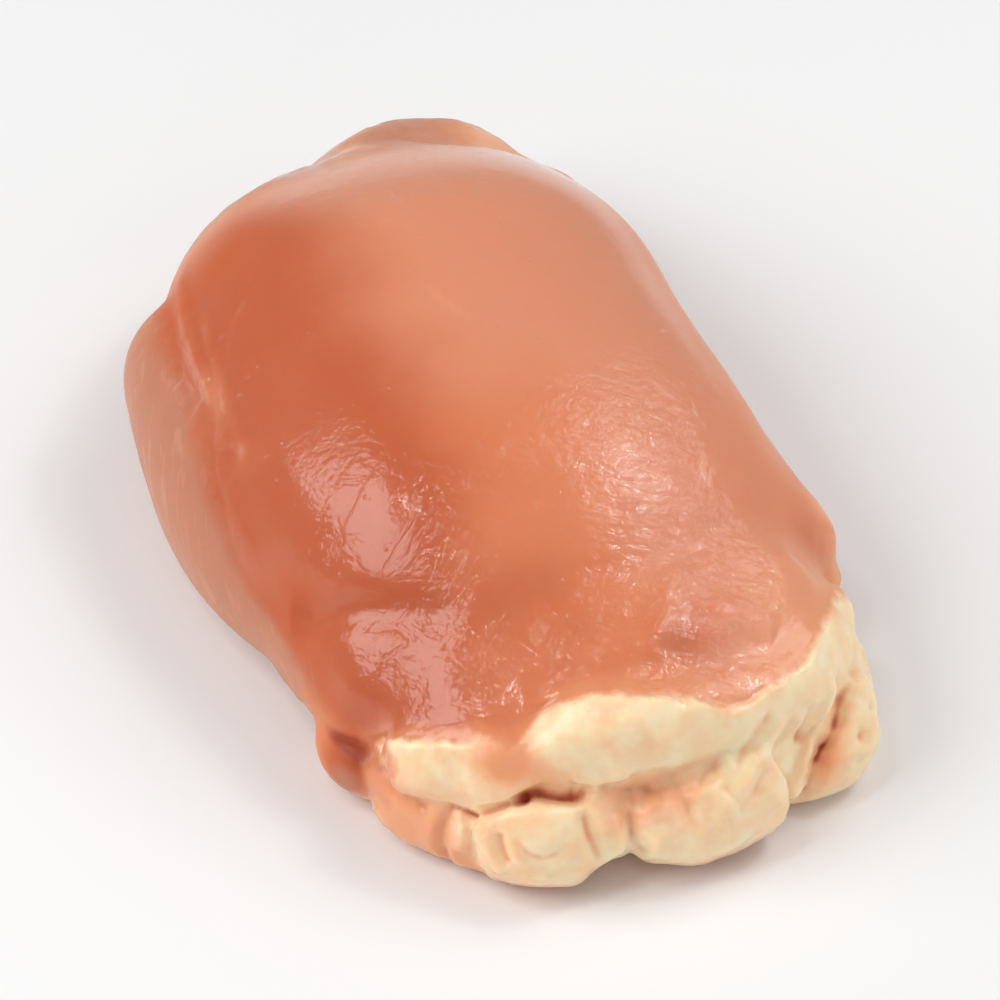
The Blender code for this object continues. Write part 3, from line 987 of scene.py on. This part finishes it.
def blended(share, one, other):
    """Colour one where share is 0, and the other where it is 1, from a Mix node's colour inputs."""
    node = tree.nodes.new("ShaderNodeMix")
    node.data_type = "RGBA"
    link(share, node.inputs[0])
    link(one, node.inputs[6])
    link(other, node.inputs[7])
    return node.outputs[2]


coordinates = tree.nodes.new("ShaderNodeTexCoord").outputs["Object"]


def grain(turn, stretch):
    """Coordinates for a pattern drawn out along Y, then turned about X and Z, in degrees."""
    node = tree.nodes.new("ShaderNodeMapping")
    node.vector_type = "TEXTURE"
    link(coordinates, node.inputs["Vector"])
    node.inputs["Rotation"].default_value = (math.radians(turn[0]), 0, math.radians(turn[1]))
    node.inputs["Scale"].default_value = (1, stretch, 1)
    return node.outputs["Vector"]


def cloud(size_mm, detail=3.0, where=None, roughness=0.55, distortion=0.0):
    """Noise with features of about this size, centred on 0."""
    node = tree.nodes.new("ShaderNodeTexNoise")
    link(where if where is not None else coordinates, node.inputs["Vector"])
    node.inputs["Scale"].default_value = MM / size_mm
    node.inputs["Detail"].default_value = detail
    node.inputs["Roughness"].default_value = roughness
    node.inputs["Distortion"].default_value = distortion
    return sums("SUBTRACT", node.outputs["Fac"], 0.5)


# %% Colours of the muscle
PALE_MUSCLE = srgb(220, 143, 109)
WARM_MUSCLE = srgb(219, 132, 89)
RED_MUSCLE = srgb(193, 95, 53)
# the colour of painted shade in the hollows and in the gap under the wrap's edge
SHADED_MUSCLE = srgb(160, 62, 32)
SILVERSKIN = srgb(190, 128, 102)
THREADS = srgb(212, 154, 130)
CREAMY_MUSCLE = srgb(242, 172, 130)
DOWN_THE_FLANK = (48, 0)


def cloudy(name, pattern, strength):
    """One of the skin's numbers, made uneven by a cloud."""
    return plus(number(name), times(pattern, strength))


warm = ramp(cloudy("warmth", cloud(12, 2), 0.5), 0, 1)
flesh = blended(warm, PALE_MUSCLE, WARM_MUSCLE)
red = ramp(cloudy("redness", cloud(9), 0.4), 0, 1)
flesh = blended(red, flesh, RED_MUSCLE)
silvery = ramp(cloudy("paleness", cloud(5, 4), 0.5), 0.1, 1, 0, 0.9)
flesh = blended(silvery, flesh, SILVERSKIN)
threads = ramp(cloud(1.3, 3, grain(DOWN_THE_FLANK, 9)), 0.0, 0.22, 0, 0.4)
flesh = blended(times(threads, number("flank")), flesh, THREADS)
creamy = ramp(cloudy("creaminess", cloud(6, 3), 0.4), 0, 1)
flesh = blended(creamy, flesh, CREAMY_MUSCLE)
# painted shade: darker in the wide hollows and in the gap under the wrap's edge
flesh = blended(ramp(number("wide_hollow"), 0.5, 1.8, 0, 0.75), flesh, SHADED_MUSCLE)
flesh = blended(ramp(number("gap_shade"), 0.25, 0.9, 0, 0.9), flesh, SHADED_MUSCLE)
wobble = times(cloud(2.5, 3), 0.6)
lines = {name: sums("ABSOLUTE", plus(number(name), wobble)) for name in FINE_LINES}
for name, beside_line in lines.items():
    on_line = ramp(beside_line, 0.04, 0.2, 0.6 * LINE_STRENGTH[name], 0)
    flesh = blended(on_line, flesh, RED_MUSCLE)

# %% Colours of the fat
FAT = srgb(255, 214, 171)
FAT_BRIGHT = srgb(255, 228, 191)
FAT_PINK = srgb(242, 182, 138)
# a stain from the muscle, also used as painted shade in the hollows and low down
FAT_STAIN_AND_SHADE = srgb(232, 158, 114)
# the colour of painted shade in the fat's wide hollows
SHADED_FAT = srgb(190, 82, 44)

cream = blended(ramp(cloud(3.2, 4), -0.15, 0.2), FAT, FAT_BRIGHT)
cream = blended(ramp(cloud(5.5, 3), 0.0, 0.2, 0, 0.4), cream, FAT_PINK)
# stains from the muscle, with painted shade low down and in the hollow by the knob
stained_and_shaded = ramp(cloudy("stain_and_shade", cloud(2.5, 3), 0.5), 0.1, 1, 0, 0.9)
cream = blended(stained_and_shaded, cream, FAT_STAIN_AND_SHADE)
# painted shade in the narrow hollows
cream = blended(ramp(number("narrow_hollow"), 0.0, 0.28, 0, 0.75), cream, FAT_STAIN_AND_SHADE)
# painted shade in the fat's wide hollows
cream = blended(ramp(number("wide_hollow"), 0.45, 1.3, 0, 1.0), cream, SHADED_FAT)

# %% Muscle and fat together
edge = cloudy("fat_edge", cloud(1.6, 4), 1.2)
in_fat = ramp(edge, -0.5, 0.5)
# near the edge the fat shines through the membrane
colour = blended(ramp(plus(edge, times(cloud(4), 3)), -3.0, 0.2, 0, 0.65), flesh, FAT_STAIN_AND_SHADE)
colour = blended(in_fat, colour, cream)
link(colour, surface.inputs["Base Color"])
surface.inputs["Subsurface Weight"].default_value = 1.0
surface.inputs["Subsurface Radius"].default_value = (1.0, 0.5, 0.35)
surface.inputs["Subsurface Scale"].default_value = 0.0012
surface.inputs["IOR"].default_value = 1.45
surface.inputs["Specular IOR Level"].default_value = 0.25

# %% The wet film
# it is thinner on the fat and where the skin is dry, and there the skin itself is rougher
link(ramp(plus(number("dry"), times(in_fat, 0.45)), 0, 1, 1.0, 0.2), surface.inputs["Coat Weight"])
surface.inputs["Coat Roughness"].default_value = 0.06
surface.inputs["Coat IOR"].default_value = 1.45
roughness = plus(ramp(in_fat, 0, 1, 0.42, 0.5), times(cloud(7, 3), 0.1))
link(plus(roughness, ramp(number("dry"), 0, 1, 0, 0.18)), surface.inputs["Roughness"])

# %% The finest wrinkles
WRINKLE_DEPTH = 0.0003
SLANTING = (38, -59)
CROSSING = (7, 64)

# two sets of short wrinkles that cross, in patches, then tiny beads of water and a fine grain
slanting = cloud(2.0, 3, grain(SLANTING, 2.8), 0.55, 1.0)
crossing = cloud(2.0, 3, grain(CROSSING, 2.8), 0.55, 1.0)
beads = ramp(cloud(1.4, 2), 0.16, 0.32)
patchy = ramp(cloud(7, 2), -0.12, 0.12, 0.7, 1.5)
wrinkles = times(times(plus(slanting, crossing), number("wrinkled")), patchy)
wrinkles = plus(wrinkles, times(beads, 0.35))
wrinkles = plus(wrinkles, times(cloud(0.5, 3), 0.1))
for name, beside_line in lines.items():
    wrinkles = plus(wrinkles, ramp(beside_line, 0.03, 0.26, -0.5 * LINE_STRENGTH[name], 0))
# only the film shows the wrinkles: the cloudy meat under it spreads the light too widely
bump = tree.nodes.new("ShaderNodeBump")
bump.inputs["Strength"].default_value = 1.0
bump.inputs["Distance"].default_value = WRINKLE_DEPTH
link(wrinkles, bump.inputs["Height"])
link(bump.outputs["Normal"], surface.inputs["Coat Normal"])
meat.materials.clear()
meat.materials.append(material)
print("material nodes:", len(tree.nodes))

# %% [markdown]
# ## The table, the light and the camera
# The meat is shown on plain white, with white all round. A large soft lamp on each side draws the
# broad reflections, and a small bright one near each of them makes the wet film glint on the
# wrinkles. Two weak ones at the front lighten the fat. The camera looks down from the front left
# with a long lens, as in the photograph.

# %% Stage
TABLE_WIDTH = 4
TABLE_GAP = 0.0002
TABLE_WHITE = (0.86, 0.86, 0.86, 1)
TABLE_ROUGHNESS = 0.6
ROOM_LIGHT = 0.29

bpy.ops.mesh.primitive_plane_add(size=TABLE_WIDTH, location=(0, 0, cad_low[2] - TABLE_GAP))
table = bpy.context.object
table.name = "table"
white = bpy.data.materials.new("white_table")
white.use_nodes = True
matt = white.node_tree.nodes["Principled BSDF"]
matt.inputs["Base Color"].default_value = TABLE_WHITE
matt.inputs["Roughness"].default_value = TABLE_ROUGHNESS
table.data.materials.append(white)

world = bpy.data.worlds.new("white_room")
world.use_nodes = True
glow = world.node_tree.nodes["Background"]
glow.inputs["Color"].default_value = (1, 1, 1, 1)
glow.inputs["Strength"].default_value = ROOM_LIGHT
bpy.context.scene.world = world
bpy.context.scene.view_settings.view_transform = "Standard"
bpy.context.scene.view_settings.look = "None"


def direction(azimuth, elevation):
    """The way towards something at this angle round the front and this height, in degrees."""
    a, e = math.radians(azimuth), math.radians(elevation)
    return Vector((math.sin(a) * math.cos(e), -math.cos(a) * math.cos(e), math.sin(e)))


# the lamps and the camera point at this place of the pattern
AIM = Vector(real((0.28, 3.39, 17.49)))


# %% Lamps
def softbox(name, azimuth, elevation, distance, width, height, radiance):
    """A rectangular lamp that faces the meat. Its power is pi * area * radiance."""
    lamp = bpy.data.lights.new(name, "AREA")
    lamp.shape = "RECTANGLE"
    lamp.size, lamp.size_y = width, height
    lamp.energy = math.pi * width * height * radiance
    holder = bpy.data.objects.new(name, lamp)
    back = direction(azimuth, elevation)
    holder.location = AIM + back * distance
    holder.rotation_mode = "QUATERNION"
    holder.rotation_quaternion = back.to_track_quat("Z", "Y")
    bpy.context.scene.collection.objects.link(holder)


# each lamp has an azimuth, an elevation, a distance, a width, a height and a radiance
LAMPS = {
    "left_lamp": (-97, 41, 0.6, 0.48, 0.4, 4.1),
    "left_glint": (-81, 71, 0.6, 0.08, 0.08, 13),
    "right_lamp": (98, 53, 0.6, 0.4, 0.36, 2.5),
    "right_glint": (88, 57, 0.6, 0.08, 0.08, 15),
    "right_front_lamp": (55, 26, 0.8, 0.6, 0.4, 1.1),
    "front_lamp": (-4, 12, 0.8, 0.9, 0.3, 1.1),
}
for name, setting in LAMPS.items():
    softbox(name, *setting)

# %% Camera
CAMERA_AZIMUTH = -19
CAMERA_ELEVATION = 44
CAMERA_DISTANCE = 650 * scale
FRAME_WIDTH = 117.2 * scale
SENSOR_WIDTH = 36

camera = bpy.data.objects.new("camera", bpy.data.cameras.new("camera"))
back = direction(CAMERA_AZIMUTH, CAMERA_ELEVATION)
camera.location = AIM + back * CAMERA_DISTANCE
camera.rotation_mode = "QUATERNION"
camera.rotation_quaternion = back.to_track_quat("Z", "Y")
camera.data.sensor_width = SENSOR_WIDTH
camera.data.lens = SENSOR_WIDTH * CAMERA_DISTANCE / FRAME_WIDTH
camera.data.clip_start = 0.01
bpy.context.scene.collection.objects.link(camera)
bpy.context.scene.camera = camera
print("lens", round(camera.data.lens), "mm")
